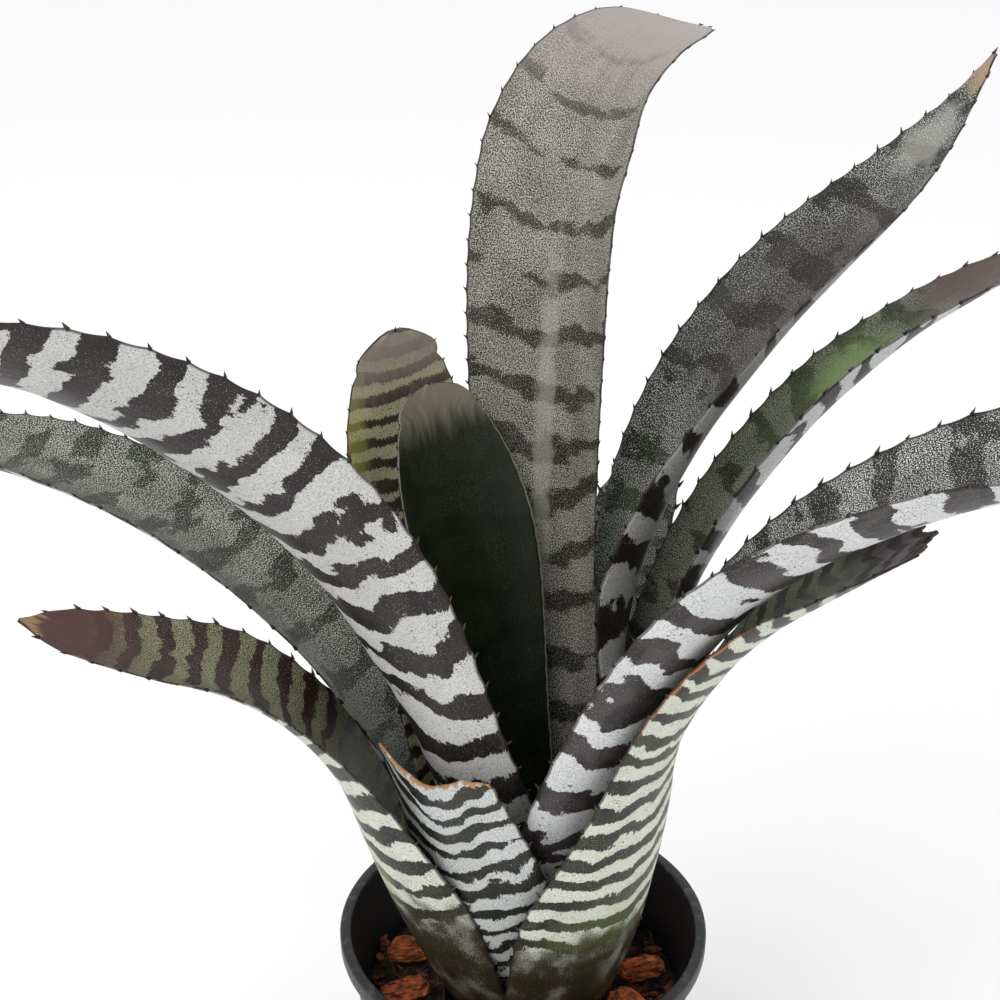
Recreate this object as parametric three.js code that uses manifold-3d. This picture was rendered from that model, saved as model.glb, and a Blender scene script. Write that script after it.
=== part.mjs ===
// A potted bromeliad: a vase-shaped rosette of zebra-banded, spiny-edged leaves on a short stem,
// rooted in a bark potting mix in a black moulded nursery pot.
// Millimetres, +Z up. The origin is the middle of the pot's flat underside, and the viewer stands at -Y.
import * as THREE from "three";
import { mergeVertices } from "three/addons/utils/BufferGeometryUtils.js";
import Module from "manifold-3d";

const wasm = await Module();
wasm.setup();

// ---------------------------------------------------------------- driving dimensions
const POT_HEIGHT = 115;
const POT_RIM_RADIUS = 65; // outside of the rolled lip
const POT_BASE_RADIUS = 46;
const POT_WALL = 1.8;
const POT_FLOOR = 2.4;
const LIP_HEIGHT = 7;
const LIP_OVERHANG = 2.2; // how far the lip stands out from the wall
const POT_SIDES = 40;
const DRAIN_HOLES = 8;
const DRAIN_HOLE_RADIUS = 4.5;
const DRAIN_RING_RADIUS = 32;
const EDGE_EASE = 1; // bevel on the pot's foot and lip

const MIX_DROP = 31; // from the top of the lip down to the potting mix, at the wall
const MIX_MOUND = 3; // how much higher the mix stands around the plant
const FIT_GAP = 0.4; // left between neighbouring solids that touch

const CHIP_COUNT = 11;
const CHIP_LENGTH = 20;
const CHIP_WIDTH = 12;
const CHIP_HEIGHT = 8;
const CHIP_JAG = 0.18; // how ragged a chunk is, as a share of its size
const CHIP_RING = 27; // the three sizes above suit a free ring of mix this wide, and follow the ring's width

const STEM_DEPTH = 44; // the lowest leaf joins the stem this far below the lip
const STEM_RADIUS = 19; // where the lowest leaf joins
const LEAVES_SUIT_STEM = 19; // the leaf sizes below suit a stem of this radius, and follow its radius
const LEAF_STEP_UP = 3.2; // each younger leaf joins the stem this much higher
const LEAF_STEP_IN = 1.1; // and this much nearer to the axis, as the stem tapers
const SHEATH_LENGTH = 75; // the part of a leaf that wraps the leaves inside it
const NECK_LENGTH = 150; // by here the leaf has opened into a free blade
const WIDEST_WRAP = 92; // degrees that a sheath reaches round the axis, to each side
const LEAF_THICKNESS = 1.3; // at the midrib
const MARGIN_THICKNESS = 0.7;
const SHEATH_FOOT = 0.72; // width of the sheath where it joins the stem, as a share of its widest
const USUAL_TAPER = 0.55; // most blades start to narrow at this share of their length
const TIP_WIDTH = 0.03; // as a share of the blade's width
const ROUND_TIP = 0.5; // most blades narrow to a round tip; towards 1 the tip is more drawn out
const ACROSS = 8; // facets across a leaf
const ALONG = 20; // facets along a leaf

// Each leaf, from the oldest and outermost to the youngest.
// turn: its compass heading in degrees, anticlockwise from +X.
// length: along the midrib. sheath and blade: its widths, measured over the curve.
// channel: the angle that the blade's U-shaped section wraps.
// hug: how much nearer the axis the sheath's [right, left] margin lies than its middle, as a share.
// taper: the share of the length where the blade starts to narrow. flare: how much it broadens before that.
// tip: how drawn out the tip is, if not round. cut: the blade has been cut square.
// posture: [lean from the vertical, change of heading, roll about the leaf's own line] in degrees, at equal
// steps from the base to the tip. A positive roll lifts the leaf's left margin.
const LEAVES = [
  {
    name: "leaf_outer_right",
    turn: 322, length: 280, sheath: 88, blade: 52, channel: 70, hug: [0.08, 0],
    posture: [[34, 0, 0], [13, 0, 0], [8, 10, -5], [28, 20, -12], [50, 24, -10], [52, 24, -4]],
  },
  {
    name: "leaf_outer_left",
    turn: 188, length: 242, sheath: 96, blade: 48, channel: 80, hug: [0, 0.25],
    posture: [[30, 0, 0], [23, 0, 0], [17, -1, 2], [41, -3, 2], [70, -6, 0], [68, -6, 0]],
  },
  {
    name: "leaf_outer_front",
    turn: 232, length: 138, sheath: 72, blade: 48, channel: 85, hug: [0, 0], cut: true,
    posture: [[20, 0, 0], [17, 0, 0], [14, 0, 0], [13, 0, 0], [12, 0, 0], [12, 0, 0]],
  },
  {
    name: "leaf_middle_left",
    turn: 151, length: 360, sheath: 70, blade: 58, channel: 80, hug: [0, 0.24],
    posture: [[15, 0, 0], [20, 0, 0], [51, 4, 5], [70, 7, 6], [88, 7, 4], [111, 6, 0]],
  },
  {
    name: "leaf_outer_back_right",
    turn: 62, length: 205, sheath: 50, blade: 42, channel: 75, hug: [0, 0],
    posture: [[15, 0, 0], [16, 0, 0], [19, 0, 0], [32, 0, 0], [44, 0, 0], [50, 0, 0]],
  },
  {
    name: "leaf_outer_back_left",
    turn: 128, length: 240, sheath: 60, blade: 58, channel: 70, hug: [0, 0], taper: 0.68,
    posture: [[15, 0, 0], [14, 0, 0], [17, 0, 0], [19, 0, 0], [14, 0, 0], [-6, 0, 0]],
  },
  {
    name: "leaf_middle_right_front",
    turn: 321, length: 372, sheath: 78, blade: 74, channel: 112, hug: [0.1, 0],
    posture: [[18, 0, 0], [17, 0, 0], [24, 9, -4], [50, 15, -6], [66, 17, 0], [88, 19, 4]],
  },
  {
    name: "leaf_middle_right_back",
    turn: 0, length: 330, sheath: 76, blade: 52, channel: 90, hug: [0.05, 0],
    posture: [[17, 0, 0], [16, 0, 0], [14, 10, -10], [37, 18, -20], [57, 20, -20], [76, 22, -10]],
  },
  {
    name: "leaf_inner_right_back",
    turn: 33, length: 370, sheath: 76, blade: 66, channel: 110, hug: [0.1, 0], taper: 0.42, tip: 1.1,
    posture: [[16, 0, 0], [14, 0, 0], [19, 2, -36], [44, 2, -18], [55, 2, 0], [44, 6, 0]],
  },
  {
    name: "leaf_inner_front_left",
    turn: 213, length: 400, sheath: 72, blade: 60, channel: 85, hug: [0, 0.2],
    posture: [[15, 0, 0], [15, 0, 0], [24, -5, 25], [47, -9, 42], [69, -11, 34], [96, -13, 30]],
  },
  {
    name: "leaf_inner_back",
    turn: 84, length: 355, sheath: 60, blade: 46, channel: 90, hug: [0.1, 0.1], taper: 0.78, flare: 0.4,
    posture: [[15, 0, 0], [15, 0, 0], [12, 0, 0], [8, -16, 0], [24, -34, 0], [110, -42, 0]],
  },
  {
    name: "leaf_young_centre",
    turn: 128, length: 205, sheath: 46, blade: 56, channel: 85, hug: [0, 0], taper: 0.66,
    posture: [[8, 0, 0], [9, 0, 0], [11, 0, 0], [13, 0, 0], [17, 0, 0], [20, 0, 0]],
  },
];

// ---------------------------------------------------------------- helpers
const rad = THREE.MathUtils.degToRad;
const zAxis = new THREE.Vector3(0, 0, 1);
const mixTop = POT_HEIGHT - MIX_DROP; // at the wall
const growth = STEM_RADIUS / LEAVES_SUIT_STEM; // a thinner stem bears smaller leaves
const sheathLength = SHEATH_LENGTH * growth;
const neckLength = NECK_LENGTH * growth;
const stepUp = LEAF_STEP_UP * growth;
const stepIn = LEAF_STEP_IN * growth;
const smooth = (x, low, high) => THREE.MathUtils.smoothstep(x, low, high);
const finish = (color, roughness, metalness = 0) =>
  new THREE.MeshStandardMaterial({ color, roughness, metalness });

/** A closed geometry as a manifold-3d solid. */
function toSolid(geometry) {
  const bare = geometry.clone().deleteAttribute("normal").deleteAttribute("uv");
  const merged = mergeVertices(bare, 1e-3);
  return new wasm.Manifold(
    new wasm.Mesh({
      numProp: 3,
      vertProperties: merged.attributes.position.array,
      triVerts: new Uint32Array(merged.index.array),
    }),
  );
}

/** A manifold-3d solid as a geometry. */
function toGeometry(solid) {
  const { vertProperties, triVerts } = solid.getMesh();
  return new THREE.BufferGeometry()
    .setAttribute("position", new THREE.BufferAttribute(vertProperties, 3))
    .setIndex(new THREE.BufferAttribute(triVerts, 1));
}

/** A lathe about +Z from [radius, height] pairs, listed so that the faces point outwards. */
function lathe(profile, sides) {
  const points = profile.map(([r, z]) => new THREE.Vector2(r, z));
  return new THREE.LatheGeometry(points, sides).rotateX(Math.PI / 2);
}

/** Repeatable numbers from 0 to 1. */
function randomSeries(seed) {
  let state = seed;
  return () => {
    state = (state * 16807) % 2147483647;
    return state / 2147483647;
  };
}

function named(name, geometry, material) {
  const mesh = new THREE.Mesh(geometry, material);
  mesh.name = name;
  return mesh;
}

// ---------------------------------------------------------------- pot and its filling
/** The radius of the pot wall's outside at a height. */
const wallRadius = (z) =>
  POT_BASE_RADIUS + ((POT_RIM_RADIUS - LIP_OVERHANG - POT_BASE_RADIUS) * z) / POT_HEIGHT;

function makePot() {
  const top = POT_HEIGHT;
  const underLip = top - LIP_HEIGHT;
  const shell = toSolid(
    lathe(
      [
        [0, 0],
        [POT_BASE_RADIUS - EDGE_EASE, 0],
        [wallRadius(EDGE_EASE), EDGE_EASE],
        [wallRadius(underLip), underLip],
        [POT_RIM_RADIUS - EDGE_EASE / 2, underLip + EDGE_EASE / 2],
        [POT_RIM_RADIUS, top - EDGE_EASE],
        [POT_RIM_RADIUS - EDGE_EASE, top],
        [wallRadius(top) - POT_WALL + EDGE_EASE / 2, top],
        [wallRadius(top) - POT_WALL, top - EDGE_EASE / 2],
        [wallRadius(POT_FLOOR) - POT_WALL, POT_FLOOR],
        [0, POT_FLOOR],
      ],
      POT_SIDES,
    ),
  );
  const drain = new THREE.CylinderGeometry(DRAIN_HOLE_RADIUS, DRAIN_HOLE_RADIUS, POT_FLOOR * 3, 12);
  drain.rotateX(Math.PI / 2).translate(DRAIN_RING_RADIUS, 0, 0);
  let pot = shell;
  for (let k = 0; k < DRAIN_HOLES; k++) {
    pot = pot.subtract(toSolid(drain.clone().rotateZ((k * 2 * Math.PI) / DRAIN_HOLES)));
  }
  return named("nursery_pot", toGeometry(pot), finish(0x1d1e20, 0.5));
}

/** The radius that the plant's base fills at a height, for the socket that it stands in. */
function socketRadius(z) {
  const foot = POT_HEIGHT - STEM_DEPTH;
  const [lean] = LEAVES[0].posture[0];
  return STEM_RADIUS + LEAF_THICKNESS + Math.max(0, z - foot) * Math.tan(rad(lean)) + FIT_GAP;
}

function makeMix() {
  const inner = (z) => wallRadius(z) - POT_WALL - FIT_GAP;
  const floor = POT_FLOOR + FIT_GAP;
  const foot = POT_HEIGHT - STEM_DEPTH - FIT_GAP - LEAF_THICKNESS;
  const mound = mixTop + MIX_MOUND;
  const plug = toSolid(
    lathe(
      [
        [0, floor],
        [inner(floor) - 0.3, floor],
        [inner(mixTop) - 0.3, mixTop],
        [inner(mixTop) - 8, mixTop + 1],
        [socketRadius(mound) + 8, mound - 0.5],
        [0, mound],
      ],
      POT_SIDES,
    ),
  );
  const socket = toSolid(
    lathe(
      [
        [0, foot],
        [socketRadius(foot), foot],
        [socketRadius(mound + 5), mound + 5],
        [0, mound + 5],
      ],
      POT_SIDES,
    ),
  );
  return named("potting_mix", toGeometry(plug.subtract(socket)), finish(0x1c130d, 0.95));
}

/** Irregular chunks of bark, lying on the mix in a ring round the plant. */
function makeChips() {
  const random = randomSeries(41);
  const ringInside = socketRadius(mixTop);
  const ringOutside = wallRadius(mixTop) - POT_WALL;
  const ringRadius = (ringInside + ringOutside) / 2;
  const fit = (ringOutside - ringInside) / CHIP_RING;
  const chips = [];
  for (let k = 0; k < CHIP_COUNT; k++) {
    const size = fit * (0.8 + 0.2 * random());
    const chunk = mergeVertices(
      new THREE.IcosahedronGeometry(1, 1).deleteAttribute("normal").deleteAttribute("uv"),
      1e-3,
    );
    const at = chunk.attributes.position;
    for (let i = 0; i < at.count; i++) {
      const jag = 1 - CHIP_JAG * random();
      const blunt = Math.sign(at.getX(i)) * Math.abs(at.getX(i)) ** 0.8; // squarer ends than an egg's
      at.setXYZ(i, blunt * jag, at.getY(i) * jag, at.getZ(i) * jag);
    }
    chunk.scale((CHIP_LENGTH * size) / 2, (CHIP_WIDTH * size) / 2, (CHIP_HEIGHT * size) / 2);
    const chip = named("bark_chip_" + String(k + 1).padStart(2, "0"), chunk, finish(0x8a4322, 0.9));
    const heading = ((k + 0.3 * (random() - 0.5)) * 2 * Math.PI) / CHIP_COUNT;
    chip.position.set(
      ringRadius * Math.cos(heading),
      ringRadius * Math.sin(heading),
      mixTop + MIX_MOUND + (fit * CHIP_HEIGHT) / 2 + FIT_GAP,
    );
    chip.rotation.z = heading + (random() - 0.5) * 1.2;
    chips.push(chip);
  }
  return chips;
}

// ---------------------------------------------------------------- plant
/** How wide a leaf is, over its curve, at a share of its length. */
function leafWidth(leaf, share) {
  const at = share * leaf.length;
  const grown = Math.sin((Math.PI / 2) * Math.min(1, at / sheathLength));
  const spread = leaf.sheath * THREE.MathUtils.lerp(SHEATH_FOOT, 1, grown);
  const neck = THREE.MathUtils.lerp(spread, leaf.blade, smooth(at, sheathLength, neckLength));
  const body = neck * (1 + (leaf.flare ?? 0) * smooth(share, 0.4, 0.85));
  if (leaf.cut) return body;
  const taper = leaf.taper ?? USUAL_TAPER;
  const t = Math.max(0, (share - taper) / (1 - taper));
  return body * Math.max(TIP_WIDTH, Math.max(0, 1 - t ** 2.4) ** (leaf.tip ?? ROUND_TIP));
}

/** The leaf's middle line as equal steps, each with its point and the directions along, across and up. */
function middleLine(leaf, order) {
  const steps = ALONG * 8;
  const stations = leaf.posture.map((p) => new THREE.Vector3(...p));
  const posture = new THREE.CatmullRomCurve3(stations, false, "chordal");
  const point = new THREE.Vector3(STEM_RADIUS - stepIn * order, 0, 0);
  point.applyAxisAngle(zAxis, rad(leaf.turn));
  point.z = POT_HEIGHT - STEM_DEPTH + stepUp * order;
  const line = [];
  for (let k = 0; k <= steps; k++) {
    const pose = posture.getPoint(k / steps);
    const heading = rad(leaf.turn + pose.y);
    const lean = rad(pose.x);
    const ahead = new THREE.Vector3(
      Math.sin(lean) * Math.cos(heading),
      Math.sin(lean) * Math.sin(heading),
      Math.cos(lean),
    );
    const across = new THREE.Vector3(-Math.sin(heading), Math.cos(heading), 0);
    across.applyAxisAngle(ahead, rad(pose.z));
    const up = new THREE.Vector3().crossVectors(ahead, across);
    line.push({ point: point.clone(), ahead, across, up });
    point.addScaledVector(ahead, leaf.length / steps);
  }
  return line;
}

/** The leaf's middle surface: side runs from -1 to 1 across it, share from 0 to 1 along it. */
function middleSurface(leaf, line) {
  return (side, share) => {
    const k = share * (line.length - 1);
    const i = Math.min(line.length - 2, Math.floor(k));
    const mix = (key) => line[i][key].clone().lerp(line[i + 1][key], k - i);
    const point = mix("point");
    const half = leafWidth(leaf, share) / 2;
    const at = share * leaf.length;
    // Low down the leaf wraps the axis as a sheath; higher up it is a blade with a channel of its own.
    const hug = leaf.hug[side < 0 ? 0 : 1];
    const squeeze = 1 - hug * side * side * smooth(at, 0, sheathLength);
    const wrap = Math.min(half / Math.hypot(point.x, point.y), rad(WIDEST_WRAP));
    const wrapped = point.clone().applyAxisAngle(zAxis, side * wrap);
    wrapped.x *= squeeze;
    wrapped.y *= squeeze;
    const curl = rad(leaf.channel) * Math.min(1, (1 - share) * 3 + 0.25); // flatter towards the tip
    const radius = (2 * half) / curl;
    const angle = (side * curl) / 2;
    const bladed = point
      .clone()
      .addScaledVector(mix("across").normalize(), radius * Math.sin(angle))
      .addScaledVector(mix("up").normalize(), radius * (1 - Math.cos(angle)));
    return wrapped.lerp(bladed, smooth(at, sheathLength, neckLength));
  };
}

function makeLeaf(leaf, order) {
  const surface = middleSurface(leaf, middleLine(leaf, order));
  const geometry = new THREE.BoxGeometry(2, 1, 1, ACROSS, 1, ALONG);
  const at = geometry.attributes.position;
  const step = 1e-3;
  for (let i = 0; i < at.count; i++) {
    const side = at.getX(i);
    const share = at.getZ(i) + 0.5;
    const here = surface(side, share);
    const alongSlope = surface(side, Math.min(1, share + step)).sub(surface(side, Math.max(0, share - step)));
    const acrossSlope = surface(side + step, share).sub(surface(side - step, share));
    const innerSide = new THREE.Vector3().crossVectors(alongSlope, acrossSlope).normalize();
    const thickness = THREE.MathUtils.lerp(LEAF_THICKNESS, MARGIN_THICKNESS, side * side);
    here.addScaledVector(innerSide, at.getY(i) * thickness);
    at.setXYZ(i, here.x, here.y, here.z);
  }
  return named(leaf.name, geometry, finish(0x6d6f64, 0.55));
}

function makeStem() {
  const foot = POT_HEIGHT - STEM_DEPTH;
  const top = foot + stepUp * (LEAVES.length - 1);
  const bare = LEAF_THICKNESS / 2 + FIT_GAP;
  return named(
    "stem",
    lathe(
      [
        [0, foot],
        [STEM_RADIUS - bare - 2, foot],
        [STEM_RADIUS - bare - 1, foot + 1],
        [STEM_RADIUS - stepIn * (LEAVES.length - 1) - bare - 1, top],
        [0, top],
      ],
      16,
    ),
    finish(0x8b8f5a, 0.8),
  );
}

const grownLeaves = LEAVES.map((leaf) => ({
  ...leaf,
  length: leaf.length * growth,
  sheath: leaf.sheath * growth,
  blade: leaf.blade * growth,
}));
const plant = new THREE.Group();
plant.add(makeStem(), ...grownLeaves.map(makeLeaf));

const bromeliad = new THREE.Group();
bromeliad.add(makePot(), makeMix(), ...makeChips(), plant);

export default bromeliad;
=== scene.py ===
"""Looks of a potted bromeliad: banded, spiny leaves in a vase-shaped rosette, bark mix and a nursery pot.

Laid out as an add-on and run as a script. Lengths are metres unless a name ends in _mm.
"""

import math
import random

import bmesh
import bpy
import numpy as np
from bpy.props import FloatProperty, FloatVectorProperty, IntProperty, PointerProperty
from mathutils import Matrix, Vector, noise


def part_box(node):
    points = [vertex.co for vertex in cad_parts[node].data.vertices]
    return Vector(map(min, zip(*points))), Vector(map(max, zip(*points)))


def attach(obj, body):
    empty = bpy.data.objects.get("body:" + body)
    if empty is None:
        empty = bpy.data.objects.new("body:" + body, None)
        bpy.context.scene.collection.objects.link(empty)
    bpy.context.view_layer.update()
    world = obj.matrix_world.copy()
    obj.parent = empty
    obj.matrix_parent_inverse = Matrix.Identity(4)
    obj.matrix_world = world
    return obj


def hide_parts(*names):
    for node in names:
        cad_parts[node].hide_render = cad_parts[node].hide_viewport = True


bl_info = {
    "name": "Potted bromeliad",
    "version": (1, 0, 0),
    "blender": (4, 5, 0),
    "location": "View3D > Sidebar > Bromeliad",
    "description": "Builds the leaves, bark mix, pot and stage of a potted bromeliad",
    "category": "Add Mesh",
}

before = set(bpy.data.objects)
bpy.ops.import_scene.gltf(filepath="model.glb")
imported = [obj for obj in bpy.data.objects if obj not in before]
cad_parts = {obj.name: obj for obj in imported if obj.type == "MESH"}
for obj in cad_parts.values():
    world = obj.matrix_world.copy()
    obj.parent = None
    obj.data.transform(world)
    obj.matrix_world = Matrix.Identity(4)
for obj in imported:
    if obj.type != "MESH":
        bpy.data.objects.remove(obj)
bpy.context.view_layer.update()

MM = 0.001
POT_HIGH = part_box("nursery_pot")[1]
POT_HEIGHT = POT_HIGH.z
RIM_RADIUS = POT_HIGH.x
MIX_LOW, MIX_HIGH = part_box("potting_mix")
SOCKET_RADIUS_MM = 29.0  # the hollow in the mix that the plant stands in
CHIPS = sorted(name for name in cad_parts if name.startswith("bark_chip"))


def linear(code):
    """An sRGB hex colour as linear red, green, blue and alpha."""
    parts = [int(code[k : k + 2], 16) / 255 for k in (1, 3, 5)]
    return [p / 12.92 if p <= 0.04045 else ((p + 0.055) / 1.055) ** 2.4 for p in parts] + [1.0]


def add(tree, kind, inputs=None, **settings):
    """Adds one shader node. Settings are its properties. An input is a value, a hex colour, an output, or a
    node, whose first output in use then feeds it."""
    made = tree.nodes.new("ShaderNode" + kind)
    for key, value in settings.items():
        setattr(made, key, value)
    for key, value in (inputs or {}).items():
        if isinstance(value, bpy.types.Node):
            value = next(output for output in value.outputs if output.enabled)
        if isinstance(value, bpy.types.NodeSocket):
            tree.links.new(value, made.inputs[key])
        else:
            made.inputs[key].default_value = linear(value) if isinstance(value, str) else value
    return made


# Settings of nodes that come again and again.
TIMES = {"operation": "MULTIPLY"}
TIMES_PLUS = {"operation": "MULTIPLY_ADD"}
LESS = {"operation": "SUBTRACT"}
EASED = {"interpolation_type": "SMOOTHSTEP"}
COLOURS = {"data_type": "RGBA"}


def start_material(name):
    """An empty material and its node tree."""
    material = bpy.data.materials.new(name)
    material.use_nodes = True
    material.node_tree.nodes.clear()
    return material, material.node_tree


def keep_piece(name, bm, slot, *materials, smooth=True, replaced=()):
    """Turns a bmesh into a finished piece that rides on the plant's one body."""
    mesh = bpy.data.meshes.new(name)
    bm.to_mesh(mesh)
    bm.free()
    for polygon in mesh.polygons:
        polygon.use_smooth = smooth
    piece = bpy.data.objects.new(name, mesh)
    bpy.context.scene.collection.objects.link(piece)
    for material in materials:
        mesh.materials.append(material)
    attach(piece, "root")
    if replaced:
        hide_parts(*replaced)
    return piece


# ---------------------------------------------------------------- leaves
# How each face of a leaf is marked. The outer face is the one away from the middle of the rosette.
# band_mm: from one dark band to the next. dark: the bare share of that. arch_mm: how far a band's ends lead
# its middle towards the tip. wander_mm, ragged_mm: how far a band strays, and how torn its edges are.
# patchy_mm: how much its width changes. low_mm: how much wider it is low on the leaf. soft: mm over which it
# fades. speckle_mm: size of the scurf's grains. cover: how rare the scurf is between the bands and on them.
# foot_mm: how far up from the stem the bands are lost in olive skin. scurf, shade: the scurf in its two
# tones. bare, bare_two: the skin in its two. edge: the horny margin.
# tips: (reach from foot to tip, length over which it comes in, colour), one after another.
# spots: (side from -1 right to 1 left, reach, half width, half length, colour, strength).
# Each leaf has its two faces and tooth_mm, from one spine to the next. It may have tooth_size, its spines'
# share of the full length; end, how it stops short; and round_tip, which rounds a blunt tip.
BROAD_ZEBRA = {
    "band_mm": 16.5, "dark": 0.48, "arch_mm": 3.0, "wander_mm": 18.0, "ragged_mm": 1.5, "patchy_mm": 5.0,
    "soft": 0.8, "speckle_mm": 0.3, "cover": (0.27, 0.68), "foot_mm": 30, "scurf": "#ced1d1",
    "shade": "#b6b9b9", "bare": "#160f0f", "bare_two": "#261d1d", "edge": "#2a201c",
    "tips": ((0.97, 0.02, "#4a3f3c"),),
}
NARROW_ZEBRA = {
    **BROAD_ZEBRA, "band_mm": 10.4, "dark": 0.47, "arch_mm": 3.5, "wander_mm": 10.0, "ragged_mm": 1.1,
    "patchy_mm": 2.6, "soft": 0.5, "foot_mm": 80, "scurf": "#d1d5c8", "shade": "#bfc3b3", "bare": "#1f1b19",
    "bare_two": "#242a17",
}
SPECKLED = {
    **BROAD_ZEBRA, "band_mm": 21.0, "dark": 0.3, "wander_mm": 22.0, "patchy_mm": 11.0, "soft": 1.6,
    "speckle_mm": 0.36, "cover": (0.47, 0.6), "scurf": "#c0c3bd", "shade": "#9a9e95", "bare": "#1b1712",
    "bare_two": "#191f11",
}
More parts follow.
